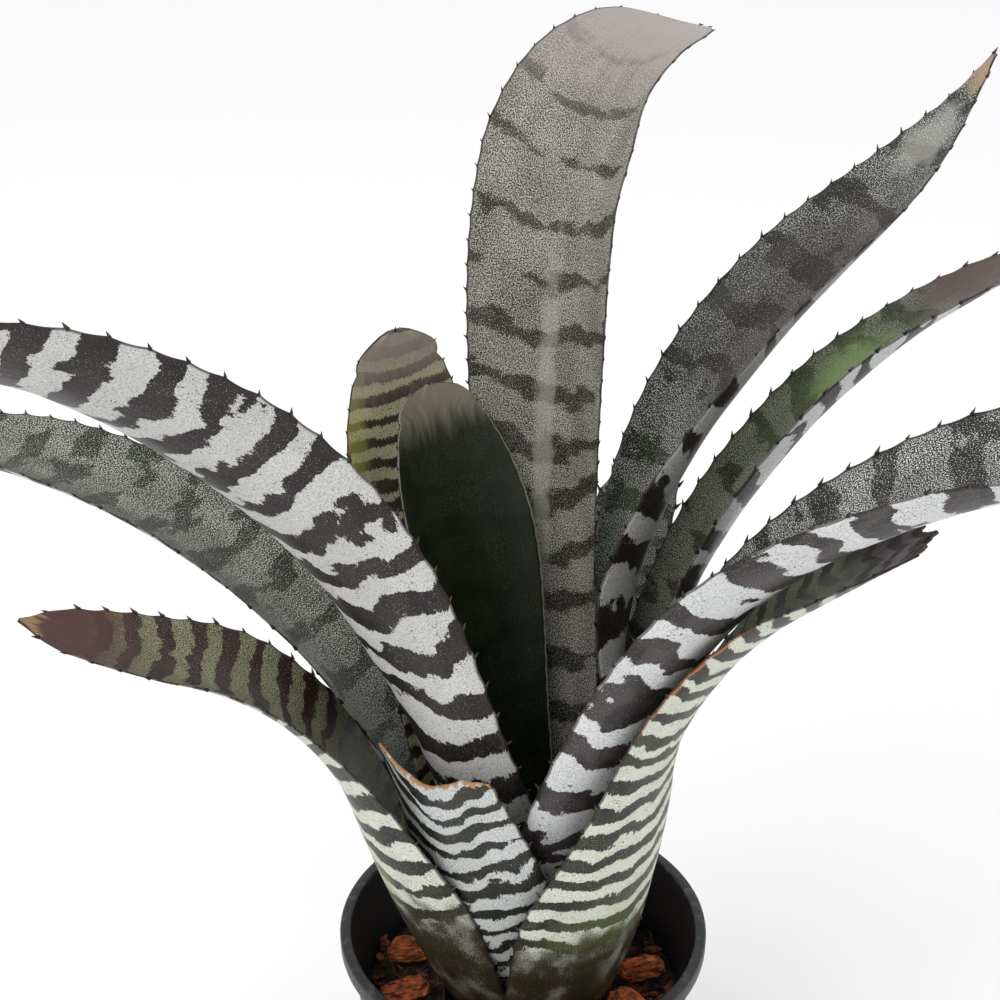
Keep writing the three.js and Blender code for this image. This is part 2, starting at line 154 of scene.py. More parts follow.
LEAVES = {
    "leaf_outer_right": {
        "outer": {**NARROW_ZEBRA, "tips": ((0.9, 0.03, "#33201b"),),
                  "spots": [(0.1, 0.3, 1.1, 0.06, "#7f8c52", 0.2),
                            (-0.99, 0.72, 0.08, 0.11, "#b07040", 0.9)]},
        "inner": {**NARROW_ZEBRA, "scurf": "#a9b092", "shade": "#8a9170", "bare": "#2a2e1b",
                  "bare_two": "#33341f", "cover": (0.35, 0.66), "foot_mm": 40,
                  "tips": ((0.87, 0.05, "#3d3a22"), (0.91, 0.02, "#2c1815")),
                  "spots": [(-0.97, 0.73, 0.12, 0.12, "#b07040", 0.9)]},
        "end": "torn", "tooth_mm": 9.5,
    },
    "leaf_outer_left": {
        "outer": {**NARROW_ZEBRA, "spots": [(-0.3, 0.34, 0.8, 0.07, "#95a268", 0.45)],
                  "tips": ((0.9, 0.04, "#5b4038"),)},
        "inner": {**NARROW_ZEBRA, "band_mm": 10.6, "dark": 0.44, "foot_mm": 40, "speckle_mm": 0.34,
                  "scurf": "#9fa282", "shade": "#777b5b", "bare": "#241110", "bare_two": "#2c1a14",
                  "cover": (0.42, 0.64), "tips": ((0.8, 0.12, "#4c2c27"), (0.965, 0.01, "#8f7550"))},
        "end": "dry", "tooth_mm": 9.0,
    },
    "leaf_outer_front": {
        "outer": {**NARROW_ZEBRA, "band_mm": 9.4, "arch_mm": 9.0, "wander_mm": 12.0, "patchy_mm": 3.4,
                  "foot_mm": 36, "scurf": "#c9cccb", "shade": "#a9aeaa", "bare": "#181d13",
                  "bare_two": "#221f1a", "tips": ((0.993, 0.004, "#a8794a"),)},
        "inner": {**SPECKLED, "tips": ((0.985, 0.004, "#a8794a"),)},
        "end": "cut", "tooth_mm": 9.0,
    },
    "leaf_middle_left": {
        "outer": BROAD_ZEBRA,
        "inner": {**SPECKLED, "speckle_mm": 0.42, "cover": (0.485, 0.59), "scurf": "#c4c7bf",
                  "shade": "#a0a499", "bare": "#1e1c12", "bare_two": "#1d2411",
                  "spots": [(0.75, 0.74, 0.6, 0.3, "#33211d", 0.7)]},
        "tooth_mm": 10.0,
    },
    "leaf_outer_back_right": {
        "outer": NARROW_ZEBRA,
        "inner": {**SPECKLED, "band_mm": 10.0},
        "tooth_mm": 8.5,
    },
    "leaf_outer_back_left": {
        "outer": NARROW_ZEBRA,
        "inner": {**NARROW_ZEBRA, "band_mm": 7.6, "dark": 0.48, "wander_mm": 5.0, "patchy_mm": 1.6,
                  "scurf": "#d2d1ac", "shade": "#b3b389", "bare": "#382b24", "bare_two": "#41342a",
                  "cover": (0.31, 0.72), "tips": ((0.86, 0.13, "#958a80"), (0.993, 0.006, "#6a463a")),
                  "spots": [(0.85, 0.8, 0.32, 0.17, "#9aa03c", 0.6),
                            (0.99, 0.78, 0.1, 0.13, "#b5622e", 0.7)]},
        "round_tip": True, "tooth_mm": 7.5, "tooth_size": 0.55,
    },
    "leaf_middle_right_front": {
        "outer": {**BROAD_ZEBRA, "band_mm": 21.0, "wander_mm": 24.0, "patchy_mm": 8.0, "soft": 1.1,
                  "scurf": "#d6d8d8", "shade": "#bfc1c1", "bare": "#1d1918", "bare_two": "#3f3938"},
        "inner": {**SPECKLED, "speckle_mm": 0.38, "scurf": "#d8dad7", "shade": "#b8bbb6", "bare": "#0d0e07",
                  "bare_two": "#1f1d12", "cover": (0.495, 0.6), "band_mm": 26.0},
        "tooth_mm": 10.5,
    },
    "leaf_middle_right_back": {
        "outer": {**BROAD_ZEBRA, "scurf": "#c9c8c6"},
        "inner": {**SPECKLED, "scurf": "#a2a698", "shade": "#7d8371", "bare": "#20241a",
                  "bare_two": "#28241a",
                  "spots": [(0.1, 0.74, 1.5, 0.15, "#4a5a35", 0.4), (0.1, 0.76, 0.7, 0.06, "#6f8b52", 0.7)],
                  "tips": ((0.84, 0.06, "#54443f"),)},
        "tooth_mm": 9.5,
    },
    "leaf_inner_right_back": {
        "outer": {**BROAD_ZEBRA, "band_mm": 19.0, "scurf": "#c6c5c5", "shade": "#a5a2a2", "bare": "#1c1514"},
        "inner": {**SPECKLED, "speckle_mm": 0.42, "cover": (0.505, 0.61), "scurf": "#c9cbc5",
                  "shade": "#a0a39b", "bare": "#15220b", "bare_two": "#1b1a12", "band_mm": 26.0,
                  "spots": [(-0.1, 0.7, 1.3, 0.17, "#2f2523", 0.85), (0.5, 0.32, 1.4, 0.16, "#1f3a10", 0.7),
                            (0.1, 0.9, 0.8, 0.05, "#a9a5a1", 0.5)],
                  "tips": ((0.95, 0.03, "#a18a70"),)},
        "tooth_mm": 10.0, "tooth_size": 0.8,
    },
    "leaf_inner_front_left": {
        "outer": {**BROAD_ZEBRA, "band_mm": 18.0, "scurf": "#c8c8c6", "shade": "#aeaeab"},
        "inner": SPECKLED,
        "tooth_mm": 10.5,
    },
    "leaf_inner_back": {
        "outer": BROAD_ZEBRA,
        "inner": {**SPECKLED, "band_mm": 19.0, "dark": 0.1, "low_mm": 2.5, "arch_mm": 8.0,
                  "wander_mm": 12.0, "patchy_mm": 6.0, "soft": 1.4, "scurf": "#bcbab1", "shade": "#a19f95",
                  "bare": "#25231b", "bare_two": "#302a25", "cover": (0.455, 0.6),
                  "tips": ((0.8, 0.16, "#a39995"),),
                  # The pale spot along the midrib is a painted highlight: the sheen on the leaf's channel,
                  # not a tint of its skin.
                  "spots": [(-0.05, 0.5, 0.16, 0.24, "#bcbdac", 0.35)]},
        "tooth_mm": 7.5, "tooth_size": 0.6,
    },
    "leaf_young_centre": {
        "outer": BROAD_ZEBRA,
        "inner": {**SPECKLED, "scurf": "#4a5538", "shade": "#2d3a1d", "bare": "#101a07",
                  "bare_two": "#0c1205", "cover": (0.59, 0.7), "edge": "#8d8b78",
                  "tips": ((0.9, 0.08, "#787260"), (0.993, 0.006, "#6e4438"))},
        "round_tip": True, "tooth_mm": 6.5, "tooth_size": 0.45,
    },
}
RING = 18  # corners of each section of a leaf's CAD solid: nine on either face
LAST_FACET = 0.95  # the share of its length where a CAD leaf's last, straight-sided facet starts
FIRST_SPINE, FIRST_SPINE_IF_CUT, LAST_SPINE = 0.12, 0.5, 0.975  # shares of a leaf's length


def leaf_net(node):
    """The CAD leaf as two arrays, rows by 9 by xyz: its middle points and its half thickness, which points
    to the inner face. Rows run from foot to tip, and each from the right margin to the left."""
    bm = bmesh.new()
    bm.from_mesh(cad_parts[node].data)
    bmesh.ops.remove_doubles(bm, verts=bm.verts, dist=2e-5)
    sections = [set(sorted(bm.verts, key=lambda v: v.co.z)[:RING])]
    found = set(sections[0])
    while len(found) < len(bm.verts):
        ahead = {e.other_vert(v) for v in sections[-1] for e in v.link_edges} - found
        sections.append(ahead)
        found |= ahead
    loops = [np.array(loop_of(section)) for section in sections]
    bm.free()
    middle = len(loops) // 4
    gaps = np.linalg.norm(loops[middle] - np.roll(loops[middle], -1, 0), axis=1)
    corner = int(np.argmin(gaps[: RING // 2] + gaps[RING // 2 :]))
    loops[middle] = np.roll(loops[middle], -corner - 1, 0)
    for k in list(range(middle + 1, len(loops))) + list(range(middle - 1, -1, -1)):
        beside = loops[k - 1] if k > middle else loops[k + 1]
        turned = [np.roll(way, s, 0) for way in (loops[k], loops[k][::-1]) for s in range(RING)]
        loops[k] = min(turned, key=lambda loop: ((loop - beside) ** 2).sum())
    faces = np.array([[loop[: RING // 2], loop[RING // 2 :][::-1]] for loop in loops])
    reach = np.linalg.norm(faces[2, :, :, :2], axis=-1).mean(-1)
    inner, outer = (faces[:, 0], faces[:, 1]) if reach[0] < reach[1] else (faces[:, 1], faces[:, 0])
    right, centre = inner[2, 0], inner[2, 4]
    if right[0] * centre[1] - right[1] * centre[0] < 0:
        inner, outer = inner[:, ::-1], outer[:, ::-1]
    return (inner + outer) / 2, (inner - outer) / 2


def loop_of(section):
    """The places of one section's corners, in order round its outline."""
    sides = {
        e for v in section for e in v.link_edges
        if e.other_vert(v) in section and any(w not in section for f in e.link_faces for w in f.verts)
    }
    here = next(iter(sorted(section, key=lambda v: v.index)))
    walked = [here]
    while len(walked) < len(section):
        nexts = [e.other_vert(here) for e in here.link_edges if e in sides]
        here = next(v for v in nexts if v not in walked)
        walked.append(here)
    return [tuple(v.co) for v in walked]


def curve_at(values, share):
    """A smooth curve through equally spaced values, read at a share from 0 to 1."""
    last = len(values) - 1
    x = min(max(share, 0.0), 1.0) * last
    k = min(int(x), last - 1)
    t = x - k
    a, b, c, d = values[max(k - 1, 0)], values[k], values[k + 1], values[min(k + 2, last)]
    return 0.5 * (2 * b + (c - a) * t + (2 * a - 5 * b + 4 * c - d) * t**2 + (3 * b - a - 3 * c + d) * t**3)


def grow_leaf(node, look, sizes, seed):
    """One leaf: a fine grid laid on the CAD leaf's curve, thickened, with scalloped margins and spines."""
    middles, halves = leaf_net(node)
    spine = middles[:, 4]
    length = float(np.linalg.norm(np.diff(spine, axis=0), axis=1).sum())
    widths = np.linalg.norm(np.diff(middles, axis=1), axis=-1).sum(1)
    across, along = sizes.facets_across, max(60, int(length / (sizes.facet_mm * MM)))
    tooth = look["tooth_mm"] * MM
    end = look.get("end")
    first = FIRST_SPINE_IF_CUT if end == "cut" else FIRST_SPINE
    rng = random.Random(seed)

    def reach_of(side, share):
        """Where along the CAD leaf this part of the blade lies: a torn, cut or dry end stops short."""
        if end == "torn":
            tear = noise.noise(Vector((side * 2.3, seed, 0)))
            tear += 0.4 * noise.noise(Vector((side * 11, seed, 0)))
            return share * (0.93 + 0.02 * tear)
        if end == "cut":
            sag = math.cos(max(-1.0, min(1.0, (side + 0.25) / 0.7)) * math.pi / 2)
            stub = 0.045 + 0.04 * sag - 0.045 * max(0, side)
            return share * (1 - stub + 0.008 * noise.noise(Vector((side * 4.0, seed, 0))))
        return share

    rows = {}

    def place(side, share, face):
        """A point of the leaf; face is 1 on the inner face and -1 on the outer one."""
        reach = reach_of(side, share)
        key = round(reach, 6)
        if key not in rows:
            rows[key] = (curve_at(middles, reach), curve_at(halves, reach), curve_at(widths, reach))
        middle_row, half_row, width = rows[key]
        if share > first:
            phase = (share * length / tooth) % 1.0
            dip = sizes.scallop_mm * look.get("tooth_size", 1.0) * MM * 4 * phase * (1 - phase)
            side *= 1 - abs(side) ** 6 * min(0.4, 2 * dip / max(width, 1e-4))
        at = (side + 1) / 2
        point = curve_at(middle_row, at)
        if look.get("round_tip") and reach > LAST_FACET:
            run = (reach - LAST_FACET) / (1 - LAST_FACET)
            widened = math.sqrt(1 - min(run, 0.995) ** 2) / (1 - 0.97 * run)
            point = middle_row[4] + (point - middle_row[4]) * widened
        half = curve_at(half_row, at) * (1 - 0.45 * abs(side) ** 8)
        ripple = 0.35 * MM * noise.noise(Vector((side * 3, share * length / 0.02, seed)))
        normal = half / max(np.linalg.norm(half), 1e-9)
        return Vector(point + face * half + ripple * normal)

    bm = bmesh.new()
    mm_map = bm.loops.layers.uv.new("leaf_mm")
    share_map = bm.loops.layers.uv.new("leaf_share")
    bmesh.ops.create_grid(bm, x_segments=across, y_segments=along, size=1.0)
    raised = bmesh.ops.extrude_face_region(bm, geom=bm.faces[:])["geom"]
    upper = {v for v in raised if isinstance(v, bmesh.types.BMVert)}
    cells = {v: (v.co.x, (v.co.y + 1) / 2, 1 if v in upper else -1) for v in bm.verts}
    for face in bm.faces:
        for loop in face.loops:
            side, share, _ = cells[loop.vert]
            loop[mm_map].uv = (side * float(curve_at(widths, share)) / 2 / MM, share * length / MM)
            loop[share_map].uv = ((side + 1) / 2, share)
        face.material_index = 0 if sum(cells[v][2] for v in face.verts) > 0 else 1
    for vert, (side, share, face) in cells.items():
        vert.co = place(side, share, face)
    bmesh.ops.recalc_face_normals(bm, faces=bm.faces)

    def spine(root, point, size):
        """One spine of the leaf's horn, with its foot sunk in the margin."""
        turn = Vector((0, 0, 1)).rotation_difference(point).to_matrix().to_4x4()
        seat = Matrix.Translation(root + point * size * 0.3) @ turn
        made = bmesh.ops.create_cone(
            bm, cap_ends=True, segments=6, radius1=0.26 * size, radius2=0.02 * size, depth=size, matrix=seat
        )
        for face in {f for v in made["verts"] for f in v.link_faces}:
            face.material_index = 2

    full = sizes.tooth_mm * look.get("tooth_size", 1.0) * MM
    for side in (-1, 1):
        for k in range(math.ceil(first * length / tooth), int(LAST_SPINE * length / tooth) + 1):
            share = k * tooth / length
            root = (place(side, share, 1) + place(side, share, -1)) / 2
            inward = (place(side * 0.9, share, 1) + place(side * 0.9, share, -1)) / 2
            onward = place(side, min(1, share + 0.01), 1) - place(side, share - 0.005, 1)
            out = (root - inward).normalized()
            point = (out * 0.75 + onward.normalized() * (0.55 + 0.4 * rng.random())).normalized()
            spine(root, point, full * (0.75 + 0.5 * rng.random()) * (0.6 if share < 0.25 else 1.0))
    if end is None:
        spine(place(0, 1, 1), (place(0, 1, 1) - place(0, 0.97, 1)).normalized(), 1.4 * full)
    return bm


# Soft random patches on a leaf: width and length in mm, detail, and a shift so that no two agree.
LEAF_PATCHES = {
    "foot": (9, 12, 2, 33.0),
    "stray": (24, 30, 2, 1.0),
    "waver": (6, 9, 2, 5.0),
    "ragged": (0.9, 2.2, 3, 9.0),
    "width": (20, 9, 2, 13.0),
    "rubbed": (11, 22, 3, 21.0),
    "bloom": (12, 16, 7, 23.0),
    "tone": (0.6, 1.1, 3, 25.0),
    "cloud": (16, 30, 2, 27.0),
    "skin": (9, 14, 3, 29.0),
    "tip": (2, 14, 3, 45.0),
    "veins": (0.9, 70, 2, 49.0),
    "nicks": (1.5, 0.55, 2, 57.0),
    "nick_groups": (9, 9, 1, 61.0),
}
FOOT_BLOOM = "#625f54"


def leaf_skin(name, look, seed):
    """Living leaf skin under silvery scurf: fine scales in crossbands, rubbed and broken along the fibres,
    over a smooth, slightly glossy dark skin."""
    material, tree = start_material(name)
    mm = add(tree, "UVMap", uv_map="leaf_mm")
    share = add(tree, "UVMap", uv_map="leaf_share")
    along = add(tree, "SeparateXYZ", {0: mm}).outputs["Y"]
    parts = add(tree, "SeparateXYZ", {0: share}).outputs
    spots = look.get("spots", ())

    grain_mm = look["speckle_mm"]
    sizes = {**LEAF_PATCHES, "grain": (grain_mm, grain_mm * 1.3, 1.5, 17.0)}
    sizes.update({order: (4, 7, 3, 37.0 + order) for order in range(len(spots))})
    patch = {}
    for key, (wide, long, detail, shift) in sizes.items():
        at = {"Vector": mm, "Scale": (1 / wide, 1 / long, 1), "Location": (seed * 3.7 + shift, shift, 0)}
        placed = add(tree, "Mapping", at)
        noisy = {"Vector": placed, "Scale": 1.0, "Detail": detail}
        patch[key] = add(tree, "TexNoise", noisy, noise_dimensions="2D")

    # Where the leaf is still olive and all but bandless, near the stem.
    foot_mm = look["foot_mm"]
    height = add(tree, "Math", {0: patch["foot"], 1: 26.0, 2: along}, **TIMES_PLUS)
    foot = add(tree, "MapRange", {0: height, 1: foot_mm + 22, 2: foot_mm - 2}, **EASED)

    # The bands: how far each place is from the middle of its dark band, in mm.
    from_midrib = add(tree, "Math", {0: parts["X"], 1: 2.0, 2: -1.0}, **TIMES_PLUS)
    squared = add(tree, "Math", {0: from_midrib, 1: from_midrib}, **TIMES)
    strayed = add(tree, "Math", {0: patch["stray"], 1: look["wander_mm"], 2: along}, **TIMES_PLUS)
    strayed = add(tree, "Math", {0: patch["waver"], 1: look["wander_mm"] * 0.3, 2: strayed}, **TIMES_PLUS)
    strayed = add(tree, "Math", {0: patch["ragged"], 1: look["ragged_mm"] * 2, 2: strayed}, **TIMES_PLUS)
    strayed = add(tree, "Math", {0: squared, 1: -look["arch_mm"], 2: strayed}, **TIMES_PLUS)
    half_band = look["band_mm"] / 2
    off_band = add(tree, "Math", {0: strayed, 1: half_band}, operation="PINGPONG")
    narrowest = look["dark"] * half_band - look["patchy_mm"]
    half_dark = add(tree, "Math", {0: patch["width"], 1: look["patchy_mm"] * 2, 2: narrowest}, **TIMES_PLUS)
    low_down = add(tree, "MapRange", {0: parts["Y"], 1: 0.78, 2: 0.5}, **EASED)
    half_dark = add(tree, "Math", {0: low_down, 1: look.get("low_mm", 0.0), 2: half_dark}, **TIMES_PLUS)
    inside = add(tree, "Math", {0: half_dark, 1: off_band}, **LESS)
    banded = add(tree, "MapRange", {0: inside, 1: -look["soft"], 2: look["soft"]}, **EASED)
    fading = add(tree, "Math", {0: foot, 1: -0.85, 2: 1.0}, **TIMES_PLUS)
    dark = add(tree, "Math", {0: banded, 1: fading}, **TIMES)

    # The scurf: grains that stand close between the bands and far apart on them.
    between, on_bands = look["cover"]
    rarity = add(tree, "MapRange", {0: dark, 1: 0.0, 2: 1.0, 3: between, 4: on_bands}, **EASED)
    rarity = add(tree, "Math", {0: patch["rubbed"], 1: 0.12, 2: rarity}, **TIMES_PLUS)
    bloomless = add(tree, "MapRange", {0: patch["bloom"], 1: 0.82, 2: 0.42}, **EASED)
    bloomless = add(tree, "Math", {0: foot, 1: bloomless}, **TIMES)
    rarity = add(tree, "Math", {0: bloomless, 1: 0.36, 2: rarity}, **TIMES_PLUS)
    # Nicks: short dark scratches across the leaf, in loose groups, where the scurf is knocked off.
    nicks = add(tree, "MapRange", {0: patch["nicks"], 1: 0.66, 2: 0.72}, **EASED)
    grouped = add(tree, "MapRange", {0: patch["nick_groups"], 1: 0.52, 2: 0.6}, **EASED)
    nicks = add(tree, "Math", {0: nicks, 1: grouped}, **TIMES)
    rarity = add(tree, "Math", {0: nicks, 1: 0.5, 2: rarity}, **TIMES_PLUS)
    spare = add(tree, "Math", {0: patch["grain"], 1: rarity}, **LESS)
    scurf = add(tree, "MapRange", {0: spare, 1: -0.03, 2: 0.03}, **EASED)

    # The colours of scurf and skin.
    tone = add(tree, "MapRange", {0: patch["tone"], 1: 0.25, 2: 0.7}, **EASED)
    pale = add(tree, "Mix", {0: tone, 6: look["shade"], 7: look["scurf"]}, **COLOURS)
    clouded = add(tree, "MapRange", {0: patch["cloud"], 1: 0.35, 2: 0.7, 3: 0.0, 4: 0.45}, **EASED)
    pale = add(tree, "Mix", {0: clouded, 6: pale, 7: look["shade"]}, **COLOURS)
    greyed = add(tree, "MapRange", {0: foot, 1: 0.0, 2: 1.0, 3: 0.0, 4: 0.8}, **EASED)
    pale = add(tree, "Mix", {0: greyed, 6: pale, 7: FOOT_BLOOM}, **COLOURS)
    skin = add(tree, "MapRange", {0: patch["skin"], 1: 0.35, 2: 0.65}, **EASED)
    bare = add(tree, "Mix", {0: skin, 6: look["bare"], 7: look["bare_two"]}, **COLOURS)
    olive = bpy.context.scene.bromeliad_colours.leaf_foot
    bare = add(tree, "Mix", {0: foot, 6: bare, 7: olive}, **COLOURS)

    # Age and damage: tinted spots, dry tips, a horny margin. The pale midrib spot of the inner back leaf is a
    # painted highlight instead: the sheen on its channel.
    for order, (side, reach, wide, long, tint, strength) in enumerate(spots):
        scale = (2 / wide, 1 / long, 1)
        at = {"Vector": share, "Scale": scale, "Location": (-(side + 1) / wide, -reach / long, 0)}
        away = add(tree, "VectorMath", {0: add(tree, "Mapping", at)}, operation="LENGTH")
        away = add(tree, "Math", {0: patch[order], 1: 0.9, 2: away}, **TIMES_PLUS)
        near = add(tree, "MapRange", {0: away, 1: 1.6, 2: 0.9}, **EASED)
        on_bare = add(tree, "Math", {0: near, 1: strength}, **TIMES)
        on_pale = add(tree, "Math", {0: near, 1: 0.6 * strength}, **TIMES)
        bare = add(tree, "Mix", {0: on_bare, 6: bare, 7: tint}, **COLOURS)
        pale = add(tree, "Mix", {0: on_pale, 6: pale, 7: tint}, **COLOURS)
    colour = add(tree, "Mix", {0: scurf, 6: bare, 7: pale}, **COLOURS)
    tip_reach = add(tree, "Math", {0: patch["tip"], 1: 0.05, 2: parts["Y"]}, **TIMES_PLUS)
    for start, soft, tint in look["tips"]:
        middle = start + 0.025  # the patches add this much on average
        dried = add(tree, "MapRange", {0: tip_reach, 1: middle, 2: middle + soft}, **EASED)
        dried = add(tree, "Math", {0: dried, 1: 0.92}, **TIMES)
        colour = add(tree, "Mix", {0: dried, 6: colour, 7: tint}, **COLOURS)
    to_margin = add(tree, "Math", {0: from_midrib}, operation="ABSOLUTE")
    horny = add(tree, "MapRange", {0: to_margin, 1: 0.965, 2: 0.985, 3: 0.0, 4: 0.8}, **EASED)
    colour = add(tree, "Mix", {0: horny, 6: colour, 7: look["edge"]}, **COLOURS)

    relief = add(tree, "Math", {0: scurf, 1: 0.35, 2: patch["veins"]}, **TIMES_PLUS)
    bump = add(tree, "Bump", {"Height": relief, "Strength": 0.5, "Distance": 0.00025})
    rough = add(tree, "MapRange", {0: scurf, 1: 0.0, 2: 1.0, 3: 0.42, 4: 0.68}, **EASED)
    finish = {"Base Color": colour, "Roughness": rough, "Normal": bump, "IOR": 1.38}
    add(tree, "OutputMaterial", {0: add(tree, "BsdfPrincipled", finish)})
    return material


def spine_horn():
    """Marginal spines: hard, dark brown horn that the leaf grows, smooth and a little glossy."""
    material, tree = start_material("spine_horn")
    place = add(tree, "TexCoord").outputs["Object"]
    tone = add(tree, "TexNoise", {"Vector": place, "Scale": 90.0, "Detail": 1.0})
    reddish = add(tree, "MapRange", {0: tone, 1: 0.52, 2: 0.62})
    horn = bpy.context.scene.bromeliad_colours.spines
    colour = add(tree, "Mix", {0: reddish, 6: horn, 7: "#3f2619"}, **COLOURS)
    add(tree, "OutputMaterial", {0: add(tree, "BsdfPrincipled", {"Base Color": colour, "Roughness": 0.45})})
    return material


# ---------------------------------------------------------------- pot
def black_polypropylene():
    """Injection-moulded black polypropylene: satin, with a fine mould grain, dust, and pale scuffs where the
    lip is handled and knocked."""
    material, tree = start_material("black_polypropylene")
    place = add(tree, "TexCoord").outputs["Object"]
    height = add(tree, "SeparateXYZ", {0: place}).outputs["Z"]
    fine = add(tree, "TexNoise", {"Vector": place, "Scale": 1400.0, "Detail": 2.0})
    broad = add(tree, "TexNoise", {"Vector": place, "Scale": 45.0, "Detail": 4.0})
    scuffs = add(tree, "TexNoise", {"Vector": place, "Scale": 260.0, "Detail": 5.0})
    at_lip = add(tree, "MapRange", {0: height, 1: POT_HEIGHT - 0.003, 2: POT_HEIGHT})
    scuffed = add(tree, "MapRange", {0: scuffs, 1: 0.55, 2: 0.8})
    wear = add(tree, "Math", {0: at_lip, 1: scuffed}, **TIMES)
    dusty = add(tree, "MapRange", {0: broad, 1: 0.4, 2: 0.75})
    black = bpy.context.scene.bromeliad_colours.pot
    clean = add(tree, "Mix", {0: dusty, 6: black, 7: "#1e1f22"}, **COLOURS)
    colour = add(tree, "Mix", {0: wear, 6: clean, 7: "#5b5d60"}, **COLOURS)
    bump = add(tree, "Bump", {"Height": fine, "Strength": 0.25, "Distance": 0.0001})
    rough = add(tree, "MapRange", {0: broad, 3: 0.38, 4: 0.55})
    finish = {"Base Color": colour, "Roughness": rough, "Normal": bump, "IOR": 1.49}
    add(tree, "OutputMaterial", {0: add(tree, "BsdfPrincipled", finish)})
    return material


def spun(bm, profile, steps):
    """Spins a profile of (radius, height) pairs in mm into a closed body about the pot's axis."""
    corners = [bm.verts.new((r * MM, 0, z * MM)) for r, z in profile]
    edges = [bm.edges.new(pair) for pair in zip(corners, corners[1:])]
    bmesh.ops.spin(
        bm, geom=corners + edges, axis=(0, 0, 1), cent=(0, 0, 0), angle=2 * math.pi, steps=steps,
        use_merge=True,
    )
    bmesh.ops.remove_doubles(bm, verts=bm.verts, dist=1e-6)
    bmesh.ops.recalc_face_normals(bm, faces=bm.faces)


# ---------------------------------------------------------------- mix, chips and litter
def composted_bark():
    """Potting mix of composted bark and peat, damp and loose: near-black brown with paler fibres and grit."""
    material, tree = start_material("composted_bark")
    place = add(tree, "TexCoord").outputs["Object"]
    lumps = add(tree, "TexNoise", {"Vector": place, "Scale": 220.0, "Detail": 6.0})
    grit = add(tree, "TexVoronoi", {"Vector": place, "Scale": 700.0})
    dark = add(tree, "MapRange", {0: lumps, 1: 0.35, 2: 0.7})
    pale = add(tree, "MapRange", {0: grit.outputs["Color"], 1: 0.86, 2: 0.95})
    damp = bpy.context.scene.bromeliad_colours.mix
    soil = add(tree, "Mix", {0: dark, 6: damp, 7: "#2f2118"}, **COLOURS)
    colour = add(tree, "Mix", {0: pale, 6: soil, 7: "#5a4330"}, **COLOURS)
    bump = add(tree, "Bump", {"Height": lumps, "Strength": 1.0, "Distance": 0.002})
    finish = {"Base Color": colour, "Roughness": 0.95, "Normal": bump}
    add(tree, "OutputMaterial", {0: add(tree, "BsdfPrincipled", finish)})
    return material


def pine_bark(name, dark, bright, pale):
    """Chunks of red pine bark and husk, broken by hand: torn fibres in dark and bright layers, quite matt.
    The tone attribute makes one chunk redder, paler or darker than the next."""
    material, tree = start_material(name)
    place = add(tree, "TexCoord").outputs["Object"]
    tone = add(tree, "Attribute", attribute_name="tone").outputs["Fac"]
    layers = add(tree, "Mapping", {"Vector": place, "Rotation": (0.5, 0.3, 0.6), "Scale": (1, 1, 4)})
    fibrous = {"Vector": layers, "Scale": 260.0, "Detail": 6.0, "Distortion": 0.6}
    fibres = add(tree, "TexNoise", fibrous)
    flakes = add(tree, "TexNoise", {"Vector": place, "Scale": 120.0, "Detail": 4.0})
    lit = add(tree, "MapRange", {0: fibres, 1: 0.36, 2: 0.62})
    body = add(tree, "Mix", {0: lit, 6: dark, 7: bright}, **COLOURS)
    flaked = add(tree, "MapRange", {0: flakes, 1: 0.55, 2: 0.7})
    body = add(tree, "Mix", {0: flaked, 6: body, 7: pale}, **COLOURS)
    shaded = add(tree, "MapRange", {0: tone, 1: 0.0, 2: 1.0})
    colour = add(tree, "Mix", {0: shaded, 6: "#140d09", 7: body}, **COLOURS)
    bump = add(tree, "Bump", {"Height": fibres, "Strength": 1.0, "Distance": 0.0012})
    finish = {"Base Color": colour, "Roughness": 0.88, "Normal": bump}
    add(tree, "OutputMaterial", {0: add(tree, "BsdfPrincipled", finish)})
    return material


def husk_fibre():
    """Loose coconut husk fibres: thin, wiry, light brown."""
    material, tree = start_material("husk_fibre")
    place = add(tree, "TexCoord").outputs["Object"]
    tone = add(tree, "TexNoise", {"Vector": place, "Scale": 60.0})
    colour = add(tree, "Mix", {0: tone, 6: "#3c2516", 7: "#9a6a44"}, **COLOURS)
    add(tree, "OutputMaterial", {0: add(tree, "BsdfPrincipled", {"Base Color": colour, "Roughness": 0.7})})
    return material


def coated_feed():
    """Slow-release feed pellets with a dull resin coat, pale tan."""
    material, tree = start_material("coated_feed")
    place = add(tree, "TexCoord").outputs["Object"]
    tone = add(tree, "TexNoise", {"Vector": place, "Scale": 110.0, "Detail": 3.0})
    colour = add(tree, "Mix", {0: tone, 6: "#8a6a48", 7: "#cbb08a"}, **COLOURS)
    add(tree, "OutputMaterial", {0: add(tree, "BsdfPrincipled", {"Base Color": colour, "Roughness": 0.6})})
    return material


def stem_tissue():
    """The plant's short fleshy stem, pale olive and fibrous where the sheaths have left scars."""
    material, tree = start_material("stem_tissue")
    place = add(tree, "TexCoord").outputs["Object"]
    rings = add(tree, "TexWave", {"Vector": place, "Scale": 40.0, "Distortion": 3.0}, bands_direction="Z")
    colour = add(tree, "Mix", {0: rings.outputs["Fac"], 6: "#6c6a3e", 7: "#9a9a68"}, **COLOURS)
    add(tree, "OutputMaterial", {0: add(tree, "BsdfPrincipled", {"Base Color": colour, "Roughness": 0.75})})
    return material


def wall_inside(z):
    """The radius of the pot's inner wall at a height, all in metres."""
    sizes = bpy.context.scene.bromeliad_pot
    foot, top = sizes.base_radius, RIM_RADIUS - sizes.lip_overhang
    return foot + (top - foot) * z / POT_HEIGHT - sizes.wall


